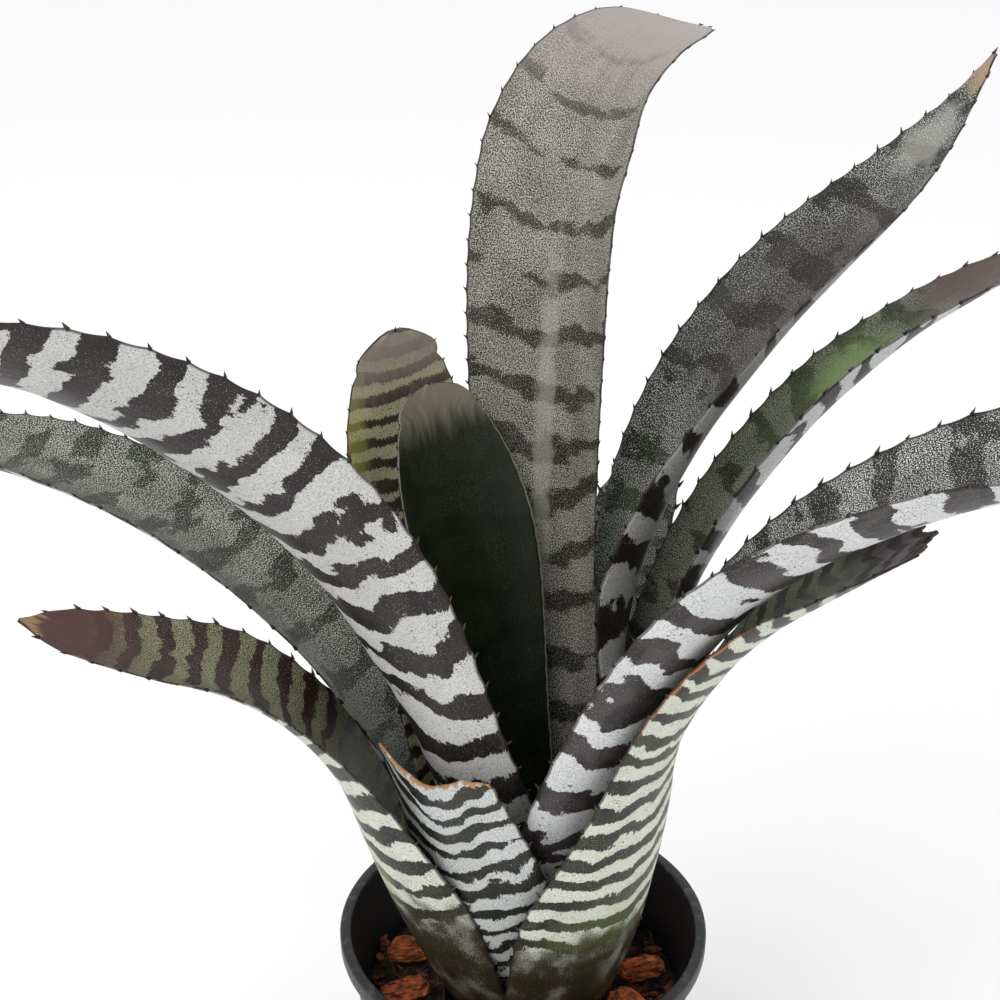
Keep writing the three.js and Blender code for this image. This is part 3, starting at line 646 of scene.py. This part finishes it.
# ---------------------------------------------------------------- settings
class BromeliadPotSizes(bpy.types.PropertyGroup):
    """Sizes of the moulded pot that its box alone doesn't give."""

    base_radius: FloatProperty(
        name="Base radius", description="Outside radius at the foot", default=0.046, unit="LENGTH"
    )
    wall: FloatProperty(name="Wall", description="Wall thickness", default=0.0018, unit="LENGTH")
    floor: FloatProperty(name="Floor", description="Floor thickness", default=0.0024, unit="LENGTH")
    lip_height: FloatProperty(
        name="Lip height", description="Height of the lip", default=0.007, unit="LENGTH"
    )
    lip_overhang: FloatProperty(
        name="Lip overhang", description="How far the lip stands out", default=0.0022, unit="LENGTH"
    )
    drain_ring: FloatProperty(
        name="Drain ring", description="Radius of the ring of drain holes", default=0.032, unit="LENGTH"
    )
    drain_radius: FloatProperty(
        name="Drain hole radius", description="Radius of each drain hole", default=0.0045, unit="LENGTH"
    )
    drain_holes: IntProperty(name="Drain holes", description="Number of drain holes", default=8, min=0)


class BromeliadLeafSizes(bpy.types.PropertyGroup):
    """Fineness of the leaves and size of their spines."""

    facets_across: IntProperty(name="Facets across", description="Faces across a leaf", default=26, min=8)
    facet_mm: FloatProperty(
        name="Facet length (mm)", description="Face length along a leaf", default=1.7, min=0.5
    )
    tooth_mm: FloatProperty(name="Spine length (mm)", description="Length of a spine", default=2.6, min=0.5)
    scallop_mm: FloatProperty(
        name="Scallop depth (mm)", description="How far the margin dips between spines", default=1.1, min=0.0
    )


class BromeliadMixSizes(bpy.types.PropertyGroup):
    """The potting mix and the litter on it."""

    chunk_swell: FloatProperty(
        name="Chunk swell", description="Size of the ragged chunks against their smooth solids", default=1.3
    )
    crumbs: IntProperty(name="Crumbs", description="Small pieces of bark on the mix", default=420, min=0)
    pellets: IntProperty(name="Pellets", description="Pale feed pellets", default=16, min=0)
    fibres: IntProperty(name="Fibres", description="Loose husk fibres", default=46, min=0)
    seed: IntProperty(name="Seed", description="Which scatter is used", default=7)


class BromeliadColours(bpy.types.PropertyGroup):
    """The main colours of the leaves' feet and spines, the pot, the mix and the bark."""

    leaf_foot: FloatVectorProperty(
        name="Leaf foot", description="Skin of a leaf near the stem", subtype="COLOR", size=4,
        default=linear("#2b2815"),
    )
    spines: FloatVectorProperty(
        name="Spines", description="Darker horn of the spines", subtype="COLOR", size=4,
        default=linear("#1b1411"),
    )
    pot: FloatVectorProperty(
        name="Pot", description="Clean plastic of the pot", subtype="COLOR", size=4, default=linear("#101112")
    )
    mix: FloatVectorProperty(
        name="Mix", description="Darker lumps of the mix", subtype="COLOR", size=4, default=linear("#0e0a07")
    )
    bark: FloatVectorProperty(
        name="Bark", description="Bright layers of the bark chunks", subtype="COLOR", size=4,
        default=linear("#dc7438"),
    )


class BromeliadStageLook(bpy.types.PropertyGroup):
    """The floor, light and camera."""

    floor_colour: FloatVectorProperty(
        name="Floor", description="Colour of the floor", subtype="COLOR", size=4, default=linear("#fafafa")
    )
    key_power: FloatProperty(
        name="Key light", description="Power of the key light", default=9.0, unit="POWER"
    )
    fill_power: FloatProperty(
        name="Fill light", description="Power of the fill light", default=3.0, unit="POWER"
    )
    sky: FloatProperty(name="Sky", description="Strength of the even light", default=0.95)
    view_tilt: FloatProperty(
        name="View tilt", description="How far the camera looks down", default=math.radians(27.3),
        subtype="ANGLE",
    )
    view_angle: FloatProperty(
        name="View angle", description="Camera's field of view", default=math.radians(28.07), subtype="ANGLE"
    )
    view_place: FloatVectorProperty(
        name="View place", description="Camera position", default=(-0.00817, -0.5641, 0.5748),
        subtype="TRANSLATION",
    )


# ---------------------------------------------------------------- operators
class BROMELIAD_OT_pot(bpy.types.Operator):
    """Build the moulded nursery pot"""

    bl_idname = "bromeliad.pot"
    bl_label = "Nursery pot"

    def execute(self, context):
        sizes = context.scene.bromeliad_pot
        top, rim = POT_HEIGHT / MM, RIM_RADIUS / MM
        base, wall, floor = (v / MM for v in (sizes.base_radius, sizes.wall, sizes.floor))
        lip, out = sizes.lip_height / MM, sizes.lip_overhang / MM
        slope = (rim - out - base) / top
        under = top - lip
        profile = [(0, 0.9), (base - 5, 0.9), (base - 4, 0), (base - 0.8, 0), (base + 0.1, 0.6)]
        profile += [(base + slope * 18, 18), (base + slope * 18.4 + 0.35, 18.4)]
        profile += [(base + slope * under, under)]
        profile += [(rim - 0.9, under + 0.15), (rim - 0.35, under + 0.6), (rim - 0.1, under + 1.6)]
        profile += [(rim - 1 + math.sin(a), top - 1 + math.cos(a)) for a in (1.57, 1.1, 0.7, 0.35, 0)]
        inner = rim - out - wall
        profile += [(inner + 0.9, top), (inner + 0.35, top - 0.25), (inner, top - 0.9)]
        foot = base + slope * floor - wall
        profile += [(foot + 1.2, floor + 0.6), (foot - 0.8, floor), (0, floor)]
        bm = bmesh.new()
        spun(bm, profile, 112)
        plastic = black_polypropylene()
        pot = keep_piece("moulded_pot", bm, "black_plastic", plastic, replaced=["nursery_pot"])
        cutters = bmesh.new()
        for k in range(sizes.drain_holes):
            at = Matrix.Rotation(2 * math.pi * k / sizes.drain_holes, 4, "Z")
            at @= Matrix.Translation((sizes.drain_ring, 0, 0))
            bmesh.ops.create_cone(
                cutters, cap_ends=True, segments=24, radius1=sizes.drain_radius, radius2=sizes.drain_radius,
                depth=0.02, matrix=at,
            )
        mesh = bpy.data.meshes.new("drain_cutters")
        cutters.to_mesh(mesh)
        cutters.free()
        tool = bpy.data.objects.new("drain_cutters", mesh)
        context.scene.collection.objects.link(tool)
        cut = pot.modifiers.new("drain", "BOOLEAN")
        cut.object = tool
        cut.solver = "EXACT"
        context.view_layer.update()
        holed = bpy.data.meshes.new_from_object(pot.evaluated_get(context.evaluated_depsgraph_get()))
        pot.modifiers.clear()
        pot.data = holed
        bpy.data.objects.remove(tool)
        if not holed.polygons:
            raise RuntimeError("the pot's drain holes could not be cut")
        return {"FINISHED"}


class BROMELIAD_OT_mix(bpy.types.Operator):
    """Fill the pot with lumpy bark mix"""

    bl_idname = "bromeliad.mix"
    bl_label = "Potting mix"

    def execute(self, context):
        low, high = MIX_LOW.z / MM, MIX_HIGH.z / MM
        wall = wall_inside(high * MM) / MM - 0.6
        foot = wall_inside(low * MM) / MM - 1.2
        socket = SOCKET_RADIUS_MM
        rings = [wall - (wall - socket) * k / 24 for k in range(25)]
        profile = [(0, low), (foot, low), (wall, high - 4)]
        profile += [(r, high - 3.4 + 2.6 * (1 - (r - socket) / (wall - socket))) for r in rings]
        profile += [(socket - 3, high - 8), (socket - 6, high - 18), (0, high - 18)]
        bm = bmesh.new()
        spun(bm, profile, 150)
        for vert in bm.verts:
            r = math.hypot(vert.co.x, vert.co.y) / MM
            if vert.co.z / MM > high - 5 and socket < r < wall - 0.1:
                lump = noise.fractal(vert.co * 190, 1.0, 2.0, 4) * 1.7 + noise.noise(vert.co * 70) * 1.2
                vert.co.z += lump * MM
        keep_piece("bark_mix_bed", bm, "bark_mix", composted_bark(), smooth=False, replaced=["potting_mix"])
        return {"FINISHED"}


class BROMELIAD_OT_chips(bpy.types.Operator):
    """Break the bark chunks that lie on the mix"""

    bl_idname = "bromeliad.chips"
    bl_label = "Bark chunks"

    def execute(self, context):
        sizes = context.scene.bromeliad_mix
        bright = context.scene.bromeliad_colours.bark
        bark = pine_bark("red_pine_bark", "#48200f", bright, "#e8a066")
        for number, node in enumerate(CHIPS):
            bm = bmesh.new()
            bm.from_mesh(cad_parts[node].data)
            bmesh.ops.remove_doubles(bm, verts=bm.verts, dist=2e-5)
            centre = sum((v.co for v in bm.verts), Vector()) / len(bm.verts)
            far = max(bm.verts, key=lambda v: (v.co - centre).length).co - centre
            grain = far.normalized()
            bmesh.ops.subdivide_edges(bm, edges=bm.edges[:], cuts=5, use_grid_fill=True)
            random_shift = Vector((number * 7.1, number * 3.3, 0))
            reach = wall_inside(centre.z) - 0.6 * MM  # keeps the chunk off the pot's wall
            for vert in bm.verts:
                vert.co = centre + (vert.co - centre) * sizes.chunk_swell
                away = vert.co - centre
                run = away.dot(grain)
                across = away - grain * run
                coarse = noise.noise(vert.co * 130 + random_shift)
                split = noise.noise(across * 900 + grain * run * 60 + random_shift)
                shove = 1.2 * MM * coarse + 1.5 * MM * split
                vert.co += across.normalized() * (shove - 0.4 * MM)
                out = math.hypot(vert.co.x, vert.co.y)
                if out > reach:
                    vert.co.xy *= reach / out
            tone = bm.verts.layers.float.new("tone")
            for vert in bm.verts:
                vert[tone] = 0.75 + 0.25 * noise.noise(random_shift)
            keep_piece(f"bark_chunk_{number + 1:02d}", bm, "bark", bark, smooth=False, replaced=[node])
        return {"FINISHED"}


class BROMELIAD_OT_litter(bpy.types.Operator):
    """Scatter crumbs of bark, husk fibres and feed pellets on the mix"""

    bl_idname = "bromeliad.litter"
    bl_label = "Bark crumbs and fibres"

    def execute(self, context):
        sizes = context.scene.bromeliad_mix
        rng = random.Random(sizes.seed)
        bm = bmesh.new()
        tone = bm.verts.layers.float.new("tone")
        for _ in range(sizes.crumbs):
            size = (0.9 + 2.6 * rng.random() ** 2) * MM
            r, turn = rng.uniform(0.031, 0.0555), rng.uniform(0, 2 * math.pi)
            seat = Vector((r * math.cos(turn), r * math.sin(turn), MIX_HIGH.z - 0.0022 + 0.35 * size))
            spin = Matrix.Rotation(rng.uniform(0, 6.28), 4, Vector((rng.random(), rng.random(), 1)))
            shape = Matrix.Diagonal((rng.uniform(1.0, 2.2), rng.uniform(0.7, 1.1), rng.uniform(0.4, 0.8), 1))
            made = bmesh.ops.create_icosphere(
                bm, subdivisions=1, radius=size, matrix=Matrix.Translation(seat) @ spin @ shape
            )
            shade = rng.choice((0.08, 0.2, 0.45, 0.7, 0.95, 1.0))
            for vert in made["verts"]:
                vert.co += noise.noise_vector(vert.co * 900) * 0.45 * size
                vert[tone] = shade
        bark = pine_bark("bark_crumb", "#2a150c", "#8a4a2a", "#b07a50")
        keep_piece("bark_crumbs", bm, "bark", bark, smooth=False)

        fibres = bpy.data.curves.new("husk_fibres", "CURVE")
        fibres.dimensions = "3D"
        fibres.bevel_depth = 0.13 * MM
        fibres.bevel_resolution = 1
        for _ in range(sizes.fibres):
            r, turn = rng.uniform(0.034, 0.053), rng.uniform(0, 2 * math.pi)
            start = Vector((r * math.cos(turn), r * math.sin(turn), MIX_HIGH.z - 0.001))
            heading = rng.uniform(0, 2 * math.pi)
            strand = fibres.splines.new("NURBS")
            strand.points.add(5)
            for k, knot in enumerate(strand.points):
                heading += rng.uniform(-0.7, 0.7)
                lift = 0.006 * math.sin(math.pi * k / 5) * rng.uniform(0.4, 1.0)
                at = start + Vector((math.cos(heading), math.sin(heading), 0)) * 0.0022 * k
                flat = math.hypot(at.x, at.y)
                pull = min(1.0, 0.056 / flat)
                knot.co = (at.x * pull, at.y * pull, at.z + lift, 1)
                knot.radius = 1.0 - 0.12 * k
            strand.use_endpoint_u = True
        threads = bpy.data.objects.new("husk_fibres", fibres)
        context.scene.collection.objects.link(threads)
        fibres.materials.append(husk_fibre())
        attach(threads, "root")

        feed = bmesh.new()
        for _ in range(sizes.pellets):
            r, turn = rng.uniform(0.036, 0.055), rng.uniform(0, 2 * math.pi)
            seat = Vector((r * math.cos(turn), r * math.sin(turn), MIX_HIGH.z - 0.0002))
            bmesh.ops.create_icosphere(
                feed, subdivisions=2, radius=rng.uniform(1.1, 1.7) * MM, matrix=Matrix.Translation(seat)
            )
        keep_piece("feed_pellets", feed, "bark", coated_feed())
        return {"FINISHED"}


class BROMELIAD_OT_leaves(bpy.types.Operator):
    """Grow the twelve leaves"""

    bl_idname = "bromeliad.leaves"
    bl_label = "Leaves"

    def execute(self, context):
        sizes = context.scene.bromeliad_leaf
        horn = spine_horn()
        for seed, (node, look) in enumerate(LEAVES.items(), start=1):
            bm = grow_leaf(node, look, sizes, seed)
            inner = leaf_skin(node + "_inner_skin", look["inner"], seed)
            outer = leaf_skin(node + "_outer_skin", look["outer"], seed + 20)
            name = node.replace("leaf_", "") + "_leaf"
            keep_piece(name, bm, "leaf", inner, outer, horn, replaced=[node])
        return {"FINISHED"}


class BROMELIAD_OT_stem(bpy.types.Operator):
    """Finish the short stem inside the rosette"""

    bl_idname = "bromeliad.stem"
    bl_label = "Stem"

    def execute(self, context):
        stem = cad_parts["stem"]
        stem.data.materials.clear()
        stem.data.materials.append(stem_tissue())
        return {"FINISHED"}


class BROMELIAD_OT_stage(bpy.types.Operator):
    """Set the floor, the soft lights and the camera"""

    bl_idname = "bromeliad.stage"
    bl_label = "Stage"

    def execute(self, context):
        look = context.scene.bromeliad_stage
        bm = bmesh.new()
        bmesh.ops.create_grid(bm, x_segments=1, y_segments=1, size=6.0)
        mesh = bpy.data.meshes.new("studio_floor")
        bm.to_mesh(mesh)
        bm.free()
        floor = bpy.data.objects.new("studio_floor", mesh)
        context.scene.collection.objects.link(floor)
        # Matt background paper, pale and even.
        paper, tree = start_material("studio_paper")
        finish = {"Base Color": look.floor_colour, "Roughness": 0.9}
        add(tree, "OutputMaterial", {0: add(tree, "BsdfPrincipled", finish)})
        mesh.materials.append(paper)

        world = bpy.data.worlds.new("soft_sky")
        world.use_nodes = True
        world.node_tree.nodes["Background"].inputs["Color"].default_value = (1, 1, 1, 1)
        world.node_tree.nodes["Background"].inputs["Strength"].default_value = look.sky
        context.scene.world = world
        context.scene.view_settings.view_transform = "Standard"
        target = Vector((0, 0, 0.25))
        for name, power, size, place in (
            ("key_softbox", look.key_power, 1.0, (-0.7, -0.7, 1.3)),
            ("fill_softbox", look.fill_power, 1.4, (1.1, -0.8, 0.8)),
        ):
            lamp = bpy.data.lights.new(name, "AREA")
            lamp.energy = power
            lamp.size = size
            softbox = bpy.data.objects.new(name, lamp)
            softbox.location = place
            softbox.rotation_euler = (target - Vector(place)).to_track_quat("-Z", "Y").to_euler()
            context.scene.collection.objects.link(softbox)

        lens = bpy.data.cameras.new("camera")
        lens.angle = look.view_angle
        lens.clip_end = 50
        camera = bpy.data.objects.new("camera", lens)
        camera.location = look.view_place
        camera.rotation_euler = (math.pi / 2 - look.view_tilt, 0, 0)
        context.scene.collection.objects.link(camera)
        context.scene.camera = camera
        return {"FINISHED"}


class BROMELIAD_PT_panel(bpy.types.Panel):
    """Lists the pieces of the bromeliad and their sizes"""

    bl_label = "Bromeliad"
    bl_space_type = "VIEW_3D"
    bl_region_type = "UI"
    bl_category = "Bromeliad"

    def draw(self, context):
        column = self.layout.column()
        for operator in OPERATORS:
            column.operator(operator.bl_idname)
        for name in GROUPS:
            group = getattr(context.scene, name)
            for key in group.bl_rna.properties.keys():
                if key not in ("rna_type", "name"):
                    column.prop(group, key)


OPERATORS = (
    BROMELIAD_OT_stage,
    BROMELIAD_OT_pot,
    BROMELIAD_OT_mix,
    BROMELIAD_OT_chips,
    BROMELIAD_OT_litter,
    BROMELIAD_OT_stem,
    BROMELIAD_OT_leaves,
)
GROUPS = {
    "bromeliad_pot": BromeliadPotSizes,
    "bromeliad_leaf": BromeliadLeafSizes,
    "bromeliad_mix": BromeliadMixSizes,
    "bromeliad_colours": BromeliadColours,
    "bromeliad_stage": BromeliadStageLook,
}


def register():
    for group in GROUPS.values():
        bpy.utils.register_class(group)
    for name, group in GROUPS.items():
        setattr(bpy.types.Scene, name, PointerProperty(type=group))
    for kind in (*OPERATORS, BROMELIAD_PT_panel):
        bpy.utils.register_class(kind)


def unregister():
    for kind in (BROMELIAD_PT_panel, *reversed(OPERATORS)):
        bpy.utils.unregister_class(kind)
    for name, group in GROUPS.items():
        delattr(bpy.types.Scene, name)
        bpy.utils.unregister_class(group)


def main():
    register()
    for operator in OPERATORS:
        group, name = operator.bl_idname.split(".")
        getattr(getattr(bpy.ops, group), name)()


if __name__ == "__main__":
    main()
